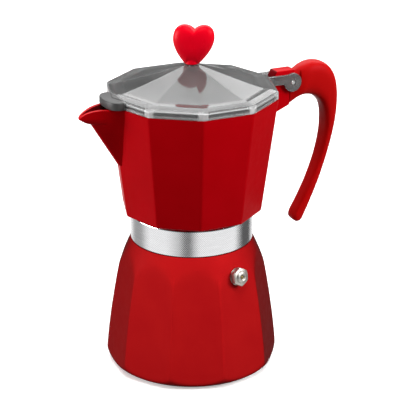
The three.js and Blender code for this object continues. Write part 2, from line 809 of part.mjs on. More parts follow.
function knobWasher() {
  const bottom = washerTop - KNOB_SCREW.washerThickness;
  const inner = KNOB_SCREW.radius + FIT;
  return turnedRing([[inner, bottom], [KNOB_SCREW.washer, bottom], [KNOB_SCREW.washer, washerTop],
    [inner, washerTop]], 20);
}

function knobScrew() {
  const head = washerTop - KNOB_SCREW.washerThickness - FIT;
  const bottom = head - KNOB_SCREW.headHeight;
  const top = knobBase + KNOB.depth - 1;
  return turned([[0, bottom], [KNOB_SCREW.head - 0.8, bottom], [KNOB_SCREW.head, bottom + 0.8],
    [KNOB_SCREW.head, head], [KNOB_SCREW.radius, head], [KNOB_SCREW.radius, top], [0, top]], SMALL_ROUND);
}

function hingePin() {
  const half = LUG.width / 2 + FIT + EAR.thickness;
  return bar(PIVOT.pin, -half, half, 12).rotateX(Math.PI / 2).translate(pivot.x, 0, pivot.z);
}

// ---- Handle -------------------------------------------------------------------------------------

// The hook's back and grip lines seen from the side and measured from the hinge's pin, in step with each
// other from the lug to the tip.
const handleBack = [[-2.9, 2.1], [3, 6.3], [9.1, 9.5], [16.6, 11], [24.6, 9], [30.6, 2.9], [33.5, -6.4],
  [33.7, -19.4], [31.4, -34.9], [27.3, -51.9], [21.7, -68.9], [15.3, -83.9], [11.7, -91.4], [10, -94.1],
  [7.7, -95.6]];
const handleGrip = [[-2.9, -16.6], [1.6, -14], [5.4, -11.4], [9.6, -10.2], [14.6, -10.8], [19.4, -13.4],
  [23.3, -18.2], [25.4, -25.9], [25.3, -37.4], [22, -52.1], [16.2, -67.6], [9.5, -81], [5, -89],
  [4.2, -93.1], [6.1, -95.5]];

// The handle's width at a place: narrow at the lug, full at the bend, a little less at the tip.
function handleWidth(x, z) {
  const front = THREE.MathUtils.smoothstep(x, lugFace, lugFace + HANDLE.shoulder);
  const down = THREE.MathUtils.smoothstep(pivot.z - z, HANDLE.slimFrom, HANDLE.slimTo);
  const wide = THREE.MathUtils.lerp(HANDLE.width, HANDLE.tipWidth, down);
  return THREE.MathUtils.lerp(LUG.width + HANDLE.frontStep, wide, Math.max(front, down));
}

// Rounded-square sections between the two lines, shrinking to the round tip.
function handleBlank() {
  const place = ([x, z]) => new THREE.Vector2(pivot.x + x, pivot.z + z);
  const line = (points) => new THREE.SplineCurve(points.map(place));
  const back = line(handleBack);
  const grip = line(handleGrip);
  const stations = 2 * (handleBack.length - 1);
  const rings = [];
  for (let station = 0; station <= stations; station++) {
    const a = back.getPoint(station / stations);
    const b = grip.getPoint(station / stations);
    const middle = a.clone().add(b).multiplyScalar(0.5);
    const fullness = Math.min(1, a.distanceTo(b) / HANDLE.tipRound);
    const half = (handleWidth(middle.x, middle.y) / 2) * Math.sqrt(1 - (1 - fullness) ** 2);
    const ring = [];
    for (let i = 0; i < HANDLE.sides; i++) {
      const around = ((i + 0.5) / HANDLE.sides) * 2 * Math.PI;
      const across = squared(Math.cos(around));
      const out = middle.clone().lerp(a, across);
      ring.push(new THREE.Vector3(out.x, -half * squared(Math.sin(around)), out.y));
    }
    rings.push(ring);
  }
  return loft(rings);
}

// Squares a circle's sine or cosine up a little, to -1..1.
const squared = (value) => Math.sign(value) * Math.abs(value) ** (2 / HANDLE.squareness);

// Room in front of the handle for the lug's face and its step.
function lugRoom() {
  const front = lugFace + FIT;
  const upper = lugTopFace + FIT;
  const shape = new THREE.Shape();
  shape.moveTo(front - 30, lugUnder - 30);
  shape.lineTo(front, lugUnder - 30);
  shape.lineTo(front, lugStep - FIT);
  shape.lineTo(upper, lugStep - FIT);
  shape.lineTo(upper, lugTop + 30);
  shape.lineTo(front - 30, lugTop + 30);
  return upright(shape, -HANDLE.width, HANDLE.width);
}

// Room beside the lug for an ear's round end, open upwards so that the ear's bar can swing back.
function earRoom(side) {
  const radius = EAR.radius + RUN;
  const shape = new THREE.Shape();
  shape.moveTo(pivot.x - 20, pivot.z + 30);
  shape.lineTo(pivot.x - 20, pivot.z);
  shape.lineTo(pivot.x - radius, pivot.z);
  shape.absarc(pivot.x, pivot.z, radius, Math.PI, 2 * Math.PI, false);
  shape.lineTo(pivot.x + radius + 0.3, pivot.z + 30);
  const inner = LUG.width / 2 + HANDLE.earGap;
  return side > 0 ? upright(shape, inner, inner + 20, 14) : upright(shape, -inner - 20, -inner, 14);
}

function handle() {
  const socket = new THREE.Shape();
  socket.moveTo(lugFace - 6, tenonBottom - FIT);
  socket.lineTo(tenonEnd + FIT, tenonBottom - FIT);
  socket.lineTo(tenonEnd + FIT, tenonTop + FIT);
  socket.lineTo(lugFace - 6, tenonTop + FIT);
  const half = LUG.tenonWidth / 2 + FIT;
  const screwHole = bar(HANDLE_SCREW.radius + FIT, 150, lugStep, 12).translate(screwPlace, 0, 0);
  const counterbore = bar(HANDLE_SCREW.head + FIT, 150, screwSeat, 16).translate(screwPlace, 0, 0);
  const rooms = [lugRoom(), upright(socket, -half, half), earRoom(1), earRoom(-1)];
  return cut(handleBlank(), ...rooms, screwHole, counterbore, pinHole());
}

function handleScrew() {
  const head = screwSeat - FIT;
  const bottom = head - HANDLE_SCREW.headHeight;
  const end = head + HANDLE_SCREW.length;
  return turned([[0, bottom], [HANDLE_SCREW.head, bottom], [HANDLE_SCREW.head, head],
    [HANDLE_SCREW.radius, head],
    [HANDLE_SCREW.radius, end], [0, end]], SMALL_ROUND).translate(screwPlace, 0, 0);
}

// ---- Materials and assembly ---------------------------------------------------------------------

const finish = (color, roughness, metalness, more = {}) => () =>
  new THREE.MeshStandardMaterial({ color, roughness, metalness, ...more });

const redPaint = finish(0xa80a14, 0.45, 0);
const redPlastic = finish(0xb00f18, 0.4, 0);
const heartRed = finish(0xd8061c, 0.35, 0);
const smokyPlastic = finish(0x6b6d6e, 0.08, 0, { transparent: true, opacity: 0.45 });
const polishedBand = finish(0xd2d2d0, 0.18, 1);
const aluminium = finish(0xb9babb, 0.4, 1);
const steel = finish(0xc4c4c2, 0.25, 1);
const nickel = finish(0xc9c2b2, 0.25, 1);
const brass = finish(0xb9974c, 0.3, 1);
const silicone = finish(0xe6e4dd, 0.7, 0);

const pieces = {
  boiler: [boiler(), redPaint],
  valve_body: [valveBody(), nickel],
  valve_washer: [valveWasher(), brass],
  valve_seat: [valveSeat(), brass],
  valve_piston: [valvePiston(), brass],
  valve_spring: [valveSpring(), steel],
  funnel: [funnel(), aluminium],
  funnel_screen: [funnelScreen(), aluminium],
  seal_ring: [sealRing(), silicone],
  filter_plate: [filterPlate(), aluminium],
  collector: [collector(), redPaint],
  collar_band: [collarBand(), polishedBand],
  coffee_column: [coffeeColumn(), aluminium],
  column_cap: [columnCap(), steel],
  lid: [lid(), smokyPlastic],
  knob: [knob(), heartRed],
  knob_washer: [knobWasher(), steel],
  knob_screw: [knobScrew(), steel],
  hinge_pin: [hingePin(), steel],
  handle: [handle(), redPlastic],
  handle_screw: [handleScrew(), steel],
};

const group = new THREE.Group();
for (const [name, [geometry, material]] of Object.entries(pieces)) {
  const mesh = new THREE.Mesh(geometry, material());
  mesh.name = name;
  group.add(mesh);
}

export default group;
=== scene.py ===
# Stovetop moka pot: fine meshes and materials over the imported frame. Shapes are drawn in millimetres
# and turned into metres when a mesh is made; +Z is up, +X points to the handle.
import json
import math

import bmesh
import bpy
from mathutils import Matrix, Vector


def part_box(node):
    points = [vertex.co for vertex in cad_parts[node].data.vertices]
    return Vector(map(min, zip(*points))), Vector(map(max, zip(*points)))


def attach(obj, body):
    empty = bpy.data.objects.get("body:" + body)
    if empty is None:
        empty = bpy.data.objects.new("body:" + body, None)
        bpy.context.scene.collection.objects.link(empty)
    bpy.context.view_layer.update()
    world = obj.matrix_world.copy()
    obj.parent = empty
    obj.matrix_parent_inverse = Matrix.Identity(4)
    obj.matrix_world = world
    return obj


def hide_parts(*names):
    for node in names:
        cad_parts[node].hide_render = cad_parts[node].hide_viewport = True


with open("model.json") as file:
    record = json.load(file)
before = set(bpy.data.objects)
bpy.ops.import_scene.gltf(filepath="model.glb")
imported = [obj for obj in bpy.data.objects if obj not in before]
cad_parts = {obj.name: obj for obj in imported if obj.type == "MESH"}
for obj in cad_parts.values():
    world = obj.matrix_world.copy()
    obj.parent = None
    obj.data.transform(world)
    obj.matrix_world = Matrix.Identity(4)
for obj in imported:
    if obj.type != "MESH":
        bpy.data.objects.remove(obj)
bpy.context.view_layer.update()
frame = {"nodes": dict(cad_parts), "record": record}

MM = 0.001
FIT = 0.3  # millimetres between pieces that fit together
FACETS = 10
APOTHEM = math.cos(math.pi / FACETS)


# ---- Camera, floor and light ----------------------------------------------------------------------

TARGET = Vector((9.24, -4.52, 101.06)) * MM  # what the camera looks at, a little above the band
AZIMUTH = math.radians(-26.08)
ELEVATION = math.radians(21.13)
DISTANCE = 1.05
ROLL = math.radians(0.302)
LENS = 144.65

scene = bpy.context.scene
scene.view_settings.view_transform = "Standard"


def make_camera():
    data = bpy.data.cameras.new("camera")
    data.lens = LENS
    data.sensor_width = 36
    camera = bpy.data.objects.new("camera", data)
    scene.collection.objects.link(camera)
    flat = math.cos(ELEVATION)
    back = Vector((math.sin(AZIMUTH) * flat, -math.cos(AZIMUTH) * flat, math.sin(ELEVATION)))
    turn = (-back).to_track_quat("-Z", "Y").to_matrix().to_4x4()
    camera.matrix_world = Matrix.Translation(TARGET + back * DISTANCE) @ turn @ Matrix.Rotation(ROLL, 4, "Z")
    data.clip_start = 0.01
    data.clip_end = 50
    scene.camera = camera


LAMP_DISTANCE = 1.6
# Name, azimuth and elevation in degrees as seen from the pot, width and height in metres, radiance.
LAMPS = (
    ("overhead", 64, 50, 2.8, 1.45, 3.0),
    ("left", -200, 7, 0.8, 0.8, 13.0),
    ("right", -50, 28, 0.8, 0.9, 10.4),
    ("front", -116, 70, 0.9, 0.9, 5.8),
)


def softbox(name, azimuth, elevation, width, height, radiance):
    """A soft lamp aimed at the middle of the pot."""
    around, up = math.radians(azimuth), math.radians(elevation)
    aim = Vector((0, 0, 0.1))
    data = bpy.data.lights.new(name, "AREA")
    data.shape = "RECTANGLE"
    data.size = width
    data.size_y = height
    data.energy = math.pi * width * height * radiance
    lamp = bpy.data.objects.new(name, data)
    lamp.location = aim + LAMP_DISTANCE * Vector(
        (math.cos(around) * math.cos(up), math.sin(around) * math.cos(up), math.sin(up)))
    lamp.rotation_euler = (aim - lamp.location).to_track_quat("-Z", "Y").to_euler()
    scene.collection.objects.link(lamp)


def ramp(tree, value, low, high, out_low, out_high):
    node = tree.nodes.new("ShaderNodeMapRange")
    node.inputs["From Min"].default_value = low
    node.inputs["From Max"].default_value = high
    node.inputs["To Min"].default_value = out_low
    node.inputs["To Max"].default_value = out_high
    tree.links.new(value, node.inputs["Value"])
    return node.outputs["Result"]


def math_node(tree, operation, *values):
    """A maths node fed by numbers and links."""
    node = tree.nodes.new("ShaderNodeMath")
    node.operation = operation
    for socket, value in zip(node.inputs, values):
        if isinstance(value, (int, float)):
            socket.default_value = value
        else:
            tree.links.new(value, socket)
    return node.outputs[0]


def split_axes(tree, place):
    split = tree.nodes.new("ShaderNodeSeparateXYZ")
    tree.links.new(place, split.inputs[0])
    return [split.outputs[axis] for axis in "XYZ"]


# Where the pale cards round the table leave gaps: azimuth and half width in degrees, what is left, softness.
DARK_GAPS = ((-121, 7, 0.08, 0.012), (-131, 8, 0.62, 0.1), (8, 22, 0.12, 0.03), (122, 16, 0.4, 0.1))
CARD_BOTTOM, CARD_TOP = -0.27, -0.17  # sine of the elevation where the cards are full, and where they end
CARD_STRENGTH, ROOM_STRENGTH = 0.97, 0.14
SEEN_STRENGTH, FELT_STRENGTH = 1.0, 0.12  # the background in the picture, and the light it gives
FLOOR_HALF, FLOOR_DROP = 6.0, 0.0004  # metres; the drop keeps the pot's foot clear of the floor


def card_glow(tree):
    """Strength of the room in reflections: pale cards below the horizon, with dark gaps between them."""
    place = tree.nodes.new("ShaderNodeTexCoord")
    x, y, z = split_axes(tree, place.outputs["Generated"])
    glow = ramp(tree, z, CARD_BOTTOM, CARD_TOP, CARD_STRENGTH, ROOM_STRENGTH)
    flat = math_node(tree, "SQRT", math_node(tree, "SUBTRACT", 1.0001, math_node(tree, "POWER", z, 2.0)))
    for azimuth, half, left, blur in DARK_GAPS:
        around = math.radians(azimuth)
        ahead = math_node(tree, "MULTIPLY", x, math.cos(around))
        ahead = math_node(tree, "MULTIPLY_ADD", y, math.sin(around), ahead)
        towards = math_node(tree, "DIVIDE", ahead, flat)
        edge = math.cos(math.radians(half))
        kept = ramp(tree, towards, edge - blur, edge + 0.008, 1, left)
        glow = math_node(tree, "MULTIPLY", glow, kept)
    return glow


def make_world():
    """White to the camera, dim to surfaces, and pale cards to reflections."""
    world = bpy.data.worlds.new("studio")
    scene.world = world
    world.use_nodes = True
    tree = world.node_tree
    nodes, links = tree.nodes, tree.links
    nodes.clear()
    seen = nodes.new("ShaderNodeBackground")
    felt = nodes.new("ShaderNodeBackground")
    cards = nodes.new("ShaderNodeBackground")
    seen.inputs["Strength"].default_value = SEEN_STRENGTH
    felt.inputs["Strength"].default_value = FELT_STRENGTH
    for background in (seen, felt, cards):
        background.inputs["Color"].default_value = (1, 1, 1, 1)
    links.new(card_glow(tree), cards.inputs["Strength"])
    path = nodes.new("ShaderNodeLightPath")
    mirrored = nodes.new("ShaderNodeMixShader")
    links.new(path.outputs["Is Glossy Ray"], mirrored.inputs[0])
    links.new(felt.outputs[0], mirrored.inputs[1])
    links.new(cards.outputs[0], mirrored.inputs[2])
    mix = nodes.new("ShaderNodeMixShader")
    surface = nodes.new("ShaderNodeOutputWorld")
    links.new(path.outputs["Is Camera Ray"], mix.inputs[0])
    links.new(mirrored.outputs[0], mix.inputs[1])
    links.new(seen.outputs[0], mix.inputs[2])
    links.new(mix.outputs[0], surface.inputs[0])


def make_floor():
    """A plain pale floor that reflections and bounced light leave out."""
    half = FLOOR_HALF
    mesh = bpy.data.meshes.new("floor")
    corners = [(-half, -half, 0), (half, -half, 0), (half, half, 0), (-half, half, 0)]
    mesh.from_pydata(corners, [], [(0, 1, 2, 3)])
    floor = bpy.data.objects.new("floor", mesh)
    floor.location.z = -FLOOR_DROP
    scene.collection.objects.link(floor)
    material = bpy.data.materials.new("floor")
    material.use_nodes = True
    shader = material.node_tree.nodes["Principled BSDF"]
    shader.inputs["Base Color"].default_value = (0.93, 0.93, 0.93, 1)
    shader.inputs["Roughness"].default_value = 0.9
    shader.inputs["Specular IOR Level"].default_value = 0.1
    shader.inputs["Emission Color"].default_value = (1, 1, 1, 1)
    shader.inputs["Emission Strength"].default_value = 0.35
    mesh.materials.append(material)
    floor.visible_glossy = False
    floor.visible_diffuse = False


make_camera()
make_world()
make_floor()
for lamp in LAMPS:
    softbox(*lamp)


# ---- Materials ------------------------------------------------------------------------------------

def new_material(name):
    material = bpy.data.materials.new(name)
    material.use_nodes = True
    tree = material.node_tree
    shader = tree.nodes["Principled BSDF"]
    return material, tree, shader


def object_place(tree, stretch=(1, 1, 1)):
    """Object coordinates in millimetres, stretched per axis."""
    coordinates = tree.nodes.new("ShaderNodeTexCoord")
    mapping = tree.nodes.new("ShaderNodeMapping")
    mapping.inputs["Scale"].default_value = [s / MM for s in stretch]
    tree.links.new(coordinates.outputs["Object"], mapping.inputs["Vector"])
    return mapping.outputs["Vector"]


def noise(tree, place, scale, detail=3, roughness=0.5):
    node = tree.nodes.new("ShaderNodeTexNoise")
    node.inputs["Scale"].default_value = scale
    node.inputs["Detail"].default_value = detail
    node.inputs["Roughness"].default_value = roughness
    tree.links.new(place, node.inputs["Vector"])
    return node.outputs["Fac"]


def blend_colour(tree, share, first, second):
    """Blends from one colour (a value or a link) to another by a linked share."""
    node = tree.nodes.new("ShaderNodeMix")
    node.data_type = "RGBA"
    tree.links.new(share, node.inputs["Factor"])
    for socket, colour in (("A", first), ("B", second)):
        if isinstance(colour, tuple):
            node.inputs[socket].default_value = (*colour, 1)
        else:
            tree.links.new(colour, node.inputs[socket])
    return node.outputs["Result"]


def over_noise(tree, value, low=0, high=1):
    """Stretches a noise's usual range over another one."""
    return ramp(tree, value, 0.3, 0.7, low, high)


def vector_math(tree, operation, first, second=None):
    """A vector node fed by a link, and by a second link or constant."""
    node = tree.nodes.new("ShaderNodeVectorMath")
    node.operation = operation
    tree.links.new(first, node.inputs[0])
    if isinstance(second, tuple):
        node.inputs[1].default_value = second
    elif second is not None:
        tree.links.new(second, node.inputs[1])
    return node.outputs["Value" if operation == "DOT_PRODUCT" else "Vector"]


def bump(tree, shader, height, distance, strength=1.0):
    """Relief on the shader, `distance` in millimetres."""
    node = tree.nodes.new("ShaderNodeBump")
    node.inputs["Strength"].default_value = strength
    node.inputs["Distance"].default_value = distance * MM
    tree.links.new(height, node.inputs["Height"])
    tree.links.new(node.outputs["Normal"], shader.inputs["Normal"])


def inwards(tree):
    """Mask for painted shade: 1 on walls that face the pot's upright axis, 0 on the outside."""
    coordinates = tree.nodes.new("ShaderNodeTexCoord")
    flat = vector_math(tree, "MULTIPLY", coordinates.outputs["Object"], (1, 1, 0))
    away = vector_math(tree, "NORMALIZE", flat)
    facing = vector_math(tree, "DOT_PRODUCT", away, coordinates.outputs["Normal"])
    return ramp(tree, facing, -0.06, -0.25, 0, 1)


def painted(name, deep, light, rough, specular=0.5, tint=(1, 1, 1), edge=None, inside_shade=None):
    """Satin finish: slow colour drift, orange-peel bump and cloudy roughness. The tone given as `edge` is
    painted shade, which the colour darkens to where the surface is seen aslant; the tone for the inside is
    painted shade on inward walls."""
    material, tree, shader = new_material(name)
    place = object_place(tree)
    drift = noise(tree, place, 0.05, 4)
    colour = blend_colour(tree, over_noise(tree, drift), deep, light)
    # Painted shade: the colour darkens towards the edge tone where the surface is seen aslant.
    if edge is not None:
        aslant = tree.nodes.new("ShaderNodeLayerWeight")
        aslant.inputs["Blend"].default_value = 0.35
        colour = blend_colour(tree, ramp(tree, aslant.outputs["Facing"], 0.06, 0.75, 0, 1), colour, edge)
    # Painted shade: walls that face the pot's axis darken towards the inside tone.
    if inside_shade is not None:
        colour = blend_colour(tree, inwards(tree), colour, inside_shade)
    tree.links.new(colour, shader.inputs["Base Color"])
    cloud = noise(tree, place, 0.22, 5, 0.6)
    tree.links.new(over_noise(tree, cloud, rough - 0.05, rough + 0.05), shader.inputs["Roughness"])
    peel = noise(tree, place, 1.6, 2)
    bump(tree, shader, peel, 0.012)
    shader.inputs["Specular IOR Level"].default_value = specular
    shader.inputs["Specular Tint"].default_value = (*tint, 1)
    return material


def metal(name, colour, rough, grain=(1, 1, 1), grain_scale=0.6, spread=0.06, depth=0.004):
    """Bare metal with a fine directional grain."""
    material, tree, shader = new_material(name)
    shader.inputs["Metallic"].default_value = 1
    darker = tuple(0.86 * c for c in colour)
    streak = noise(tree, object_place(tree, grain), grain_scale, 4, 0.65)
    tone = blend_colour(tree, over_noise(tree, streak), darker, colour)
    tree.links.new(tone, shader.inputs["Base Color"])
    tree.links.new(over_noise(tree, streak, rough - spread, rough + spread), shader.inputs["Roughness"])
    bump(tree, shader, streak, depth)
    return material


KNURL_COUNT = 180.0  # grooves of one hand round the band
KNURL_LEAN = 4.4  # radians of the groove pattern per millimetre up the band


def cross_knurl(name):
    """Polished band with two sets of fine diagonal grooves round it, darkened in the grooves with painted
    shade.
    """
    material, tree, shader = new_material(name)
    shader.inputs["Metallic"].default_value = 1
    x, y, z = split_axes(tree, object_place(tree))
    turn = math_node(tree, "ARCTAN2", y, x)
    grooves = []
    for hand in (1, -1):
        lean = math_node(tree, "MULTIPLY", z, hand * KNURL_LEAN)
        grooves.append(math_node(tree, "SINE", math_node(tree, "MULTIPLY_ADD", turn, KNURL_COUNT, lean)))
    ridges = math_node(tree, "MAXIMUM", *grooves)
    smear = noise(tree, object_place(tree, (0.3, 0.3, 4)), 0.3, 4)
    tint = blend_colour(tree, over_noise(tree, smear), (0.86, 0.86, 0.87), (0.93, 0.93, 0.94))
    # Painted shade: the colour darkens towards grey in the grooves between the ridges.
    tint = blend_colour(tree, ramp(tree, ridges, 0.2, 0.95, 0.3, 0), tint, (0.45, 0.45, 0.47))
    tree.links.new(tint, shader.inputs["Base Color"])
    tree.links.new(over_noise(tree, smear, 0.07, 0.13), shader.inputs["Roughness"])
    bump(tree, shader, ridges, 0.022, 0.8)
    return material


# Where the lid's tones change, each from one end of a soft edge to the other, in millimetres.
TONGUE_EDGE = (-50.5, -49)  # along X
EAR_EDGE = (49.5, 50.1)  # along X
SKIRT_EDGE = (181, 180.3)  # up Z
# Painted shade: a dark stripe across the skirt between these heights.
SHADE_STRIPE_EDGES = ((176.8, 177.5), (179.6, 178.8))  # up Z
# Painted highlights: near-white patches on the skirt at each corner.
CORNER_HIGHLIGHT_EDGE = (0.78, 0.9)  # cosine of ten times the angle from a corner
SMOKE_DARK, SMOKE_PALE = (0.15, 0.155, 0.155), (0.34, 0.345, 0.345)
# Painted light makes the skirt pale, painted shade darkens a stripe across it and painted highlights whiten
# its corners.
SKIRT_PAINTED_LIGHT, SHADE_STRIPE_TONE, CORNER_PAINTED_HIGHLIGHT = (0.7, 0.71, 0.71), (0.2, 0.2, 0.2), (0.95, 0.95, 0.95)
FROST_TONE = (0.06, 0.06, 0.06)


def smoky(name):
    """Smoky clear plastic with faint flow marks, frosted on the tongue; painted light makes the skirt pale,
    painted highlights whiten its corners and a stripe of painted shade crosses it.
    """
    material, tree, shader = new_material(name)
    place = object_place(tree)
    x, y, z = split_axes(tree, place)
    frost = ramp(tree, x, *TONGUE_EDGE, 1, 0)
    off_ears = ramp(tree, x, *EAR_EDGE, 1, 0)
    # Painted light: the skirt region, lifted to a pale tone.
    skirt = math_node(tree, "MULTIPLY", ramp(tree, z, *SKIRT_EDGE, 0, 1), off_ears)
    # Painted shade: the dark stripe across the skirt.
    below, above = (ramp(tree, z, *edge, 0, 1) for edge in SHADE_STRIPE_EDGES)
    shade_stripe = math_node(tree, "MULTIPLY", math_node(tree, "MULTIPLY", below, above), off_ears)
    # Painted highlights at the skirt's corners.
    turn = math_node(tree, "ARCTAN2", y, x)
    lobes = math_node(tree, "COSINE", math_node(tree, "MULTIPLY", turn, FACETS))
    corner = math_node(tree, "MULTIPLY", ramp(tree, lobes, *CORNER_HIGHLIGHT_EDGE, 0, 1), skirt)
    tone = blend_colour(tree, over_noise(tree, noise(tree, place, 0.03, 3)), SMOKE_DARK, SMOKE_PALE)
    # Over the smoke go painted light on the skirt, a painted shade stripe, painted corner highlights and the
    # tongue's frosted tone.
    layers = ((skirt, SKIRT_PAINTED_LIGHT), (shade_stripe, SHADE_STRIPE_TONE), (corner, CORNER_PAINTED_HIGHLIGHT), (frost, FROST_TONE))
    for share, layer_tone in layers:
        tone = blend_colour(tree, share, tone, layer_tone)
    tree.links.new(tone, shader.inputs["Base Color"])
    tree.links.new(ramp(tree, frost, 0, 1, 0.72, 0.25), shader.inputs["Transmission Weight"])
    shader.inputs["IOR"].default_value = 1.5
    gloss = over_noise(tree, noise(tree, place, 0.4, 3), 0.05, 0.1)
    tree.links.new(math_node(tree, "MULTIPLY_ADD", frost, 0.4, gloss), shader.inputs["Roughness"])
    bump(tree, shader, noise(tree, place, 0.06, 2), 0.05, 0.4)
    return material


WARM = (1, 0.15, 0.2)  # tint of the red finishes' shine
MATERIALS = {
    # red_paint's inside tone is painted shade on its inward walls.
    "red_paint": painted("red_paint", (0.46, 0.0003, 0.003), (0.5, 0.0005, 0.004), 0.4, 0.06, WARM,
                         inside_shade=(0.16, 0.002, 0.004)),
    # boiler_paint's last tone is painted shade on its sides where they are seen aslant.
    "boiler_paint": painted("boiler_paint", (0.49, 0.007, 0.009), (0.53, 0.009, 0.01), 0.55, 0.02, WARM,
                            (0.06, 0.002, 0.002)),
    "red_plastic": painted("red_plastic", (0.43, 0.003, 0.003), (0.47, 0.004, 0.004), 0.4, 0.12, WARM),
    "heart_red": painted("heart_red", (0.79, 0.0006, 0.012), (0.85, 0.001, 0.015), 0.3, 0.25, WARM),
    "smoky_plastic": smoky("smoky_plastic"),
    "polished_band": cross_knurl("polished_band"),
    "bare_aluminium": metal("bare_aluminium", (0.68, 0.68, 0.67), 0.36, (1, 1, 5), 0.5),
    "steel": metal("steel", (0.62, 0.62, 0.61), 0.25, (1, 1, 4), 0.8),
    "nickel": metal("nickel", (0.6, 0.57, 0.52), 0.42, (1, 1, 1), 1.5, 0.05, 0.002),
    "brass": metal("brass", (0.4, 0.3, 0.13), 0.34, (1, 1, 4), 0.9),
    "seal_rubber": painted("seal_rubber", (0.74, 0.72, 0.66), (0.8, 0.78, 0.72), 0.6),
}


# ---- Meshes ---------------------------------------------------------------------------------------

def make_object(name, points, faces):
    mesh = bpy.data.meshes.new(name)
    mesh.from_pydata([Vector(p) * MM for p in points], [], faces)
    made = bpy.data.objects.new(name, mesh)
    scene.collection.objects.link(made)
    return made


def loft(name, rings, closed=False):
    """A skin over rings of equally many points. A ring of one point closes an end to a tip."""
    count = max(len(r) for r in rings)
    points, faces, starts = [], [], []
    for ring in rings:
        starts.append(len(points))
        points.extend(ring)
    pairs = list(zip(range(len(rings) - 1), range(1, len(rings))))
    if closed:
        pairs.append((len(rings) - 1, 0))
    for low, high in pairs:
        for i in range(count):
            j = (i + 1) % count
            a = starts[low] + (i if len(rings[low]) > 1 else 0)
            b = starts[low] + (j if len(rings[low]) > 1 else 0)
            c = starts[high] + (j if len(rings[high]) > 1 else 0)
            d = starts[high] + (i if len(rings[high]) > 1 else 0)
            corners = [a]
            for k in (b, c, d):
                if k not in corners:
                    corners.append(k)
            if len(corners) > 2:
                faces.append(corners)
    if not closed:
        if len(rings[0]) > 1:
            faces.append([starts[0] + i for i in reversed(range(count))])
        if len(rings[-1]) > 1:
            faces.append([starts[-1] + i for i in range(count)])
    return make_object(name, points, faces)


def circle(radius, height, count=128):
    if radius < 1e-6:
        return [(0, 0, height)]
    turns = [2 * math.pi * i / count for i in range(count)]
    return [(radius * math.cos(t), radius * math.sin(t), height) for t in turns]


def turned(name, profile, count=128, closed=False):
    """A solid of revolution; the profile goes up its outside."""
    return loft(name, [circle(r, z, count) for r, z in profile], closed)


# Angles round one facet, closer together near its corners.
CORNER_STEPS = (0, 0.4, 0.8, 1.25, 1.8, 2.6, 3.8, 5.6, 8.5, 13)
FACET_TURNS = [*CORNER_STEPS, 18, *(36 - s for s in reversed(CORNER_STEPS[1:]))]
ALL_TURNS = [math.radians(36 * k + t) for k in range(FACETS) for t in FACET_TURNS]


def facet_reach(turn, sharpness):
    """Radius of a soft-cornered ten-sided ring with corners at radius 1, one of them at turn 0."""
    total = 0
    for k in range(FACETS):
        lean = math.cos(turn - math.radians(18 + 36 * k))
        if lean > 0:
            total += lean ** sharpness
    return APOTHEM / total ** (1 / sharpness)


def faceted_ring(radius, height, sharpness=220, corner=0.0, round_radius=None, fade=160):
    """A ten-sided ring, cut softly by a round one where that is the smaller."""
    if radius < 1e-6:
        return [(0, 0, height)]
    ring = []
    for turn in ALL_TURNS:
        reach = radius * facet_reach(turn, sharpness)
        if round_radius is not None:
            least = min(reach, round_radius)
            reach = least * ((least / reach) ** fade + (least / round_radius) ** fade) ** (-1 / fade)
        ring.append((reach * math.cos(turn + corner), reach * math.sin(turn + corner), height))
    return ring


def circle_like(radius, height):
    """A round ring with as many points as a faceted one."""
    if radius < 1e-6:
        return [(0, 0, height)]
    return [(radius * math.cos(t), radius * math.sin(t), height) for t in ALL_TURNS]


def prism(name, outline, low, high, plane="xz"):
    """An outline drawn in X and Z (or X and Y), given thickness along the third axis."""
    if plane == "xz":
        rings = [[(x, y, z) for x, z in outline] for y in (high, low)]
    else:
        rings = [[(x, y, z) for x, y in outline] for z in (low, high)]
    return loft(name, rings)


def rectangle(left, bottom, right, top):
    return [(left, bottom), (right, bottom), (right, top), (left, top)]


def arc(centre, radius, start, end, steps=24):
    turns = [math.radians(start + (end - start) * i / steps) for i in range(steps + 1)]
    return [(centre[0] + radius * math.cos(t), centre[1] + radius * math.sin(t)) for t in turns]


def bezier(points, steps):
    """Points on a Bezier curve of any order."""
    out = []
    for i in range(steps + 1):
        level = [Vector(p) for p in points]
        while len(level) > 1:
            level = [a.lerp(b, i / steps) for a, b in zip(level, level[1:])]
        out.append(tuple(level[0]))
    return out


def spline(points, steps):
    """Points on a Catmull-Rom curve, `steps` to each stretch."""
    p = [Vector(q) for q in points]
    out = []
    for i in range(len(p) - 1):
        before = p[max(i - 1, 0)]
        after = p[min(i + 2, len(p) - 1)]
        for s in range(steps):
            t = s / steps
            a = (p[i + 1] - before) / 2
            b = (after - p[i]) / 2
            h1, h2 = 2 * t**3 - 3 * t**2 + 1, -2 * t**3 + 3 * t**2
            h3, h4 = t**3 - 2 * t**2 + t, t**3 - t**2
            out.append(tuple(h1 * p[i] + h2 * p[i + 1] + h3 * a + h4 * b))
    out.append(tuple(p[-1]))
    return out


def baked(made):
    """Replaces an object's mesh by the result of its modifiers."""
    graph = bpy.context.evaluated_depsgraph_get()
    mesh = bpy.data.meshes.new_from_object(made.evaluated_get(graph))
    made.modifiers.clear()
    made.data = mesh
    return made


def combined(base, tool, how):
    """Joins, cuts or intersects the base with a tool, which is used up."""
    step = base.modifiers.new("boolean", "BOOLEAN")
    step.operation = how
    step.solver = "EXACT"
    step.object = tool
    baked(base)
    bpy.data.objects.remove(tool)
    return base


def bevelled(made, width, segments=2, angle=40):
    step = made.modifiers.new("bevel", "BEVEL")
    step.width = width * MM
    step.segments = segments
    step.limit_method = "ANGLE"
    step.angle_limit = math.radians(angle)
    step.use_clamp_overlap = True
    return baked(made)


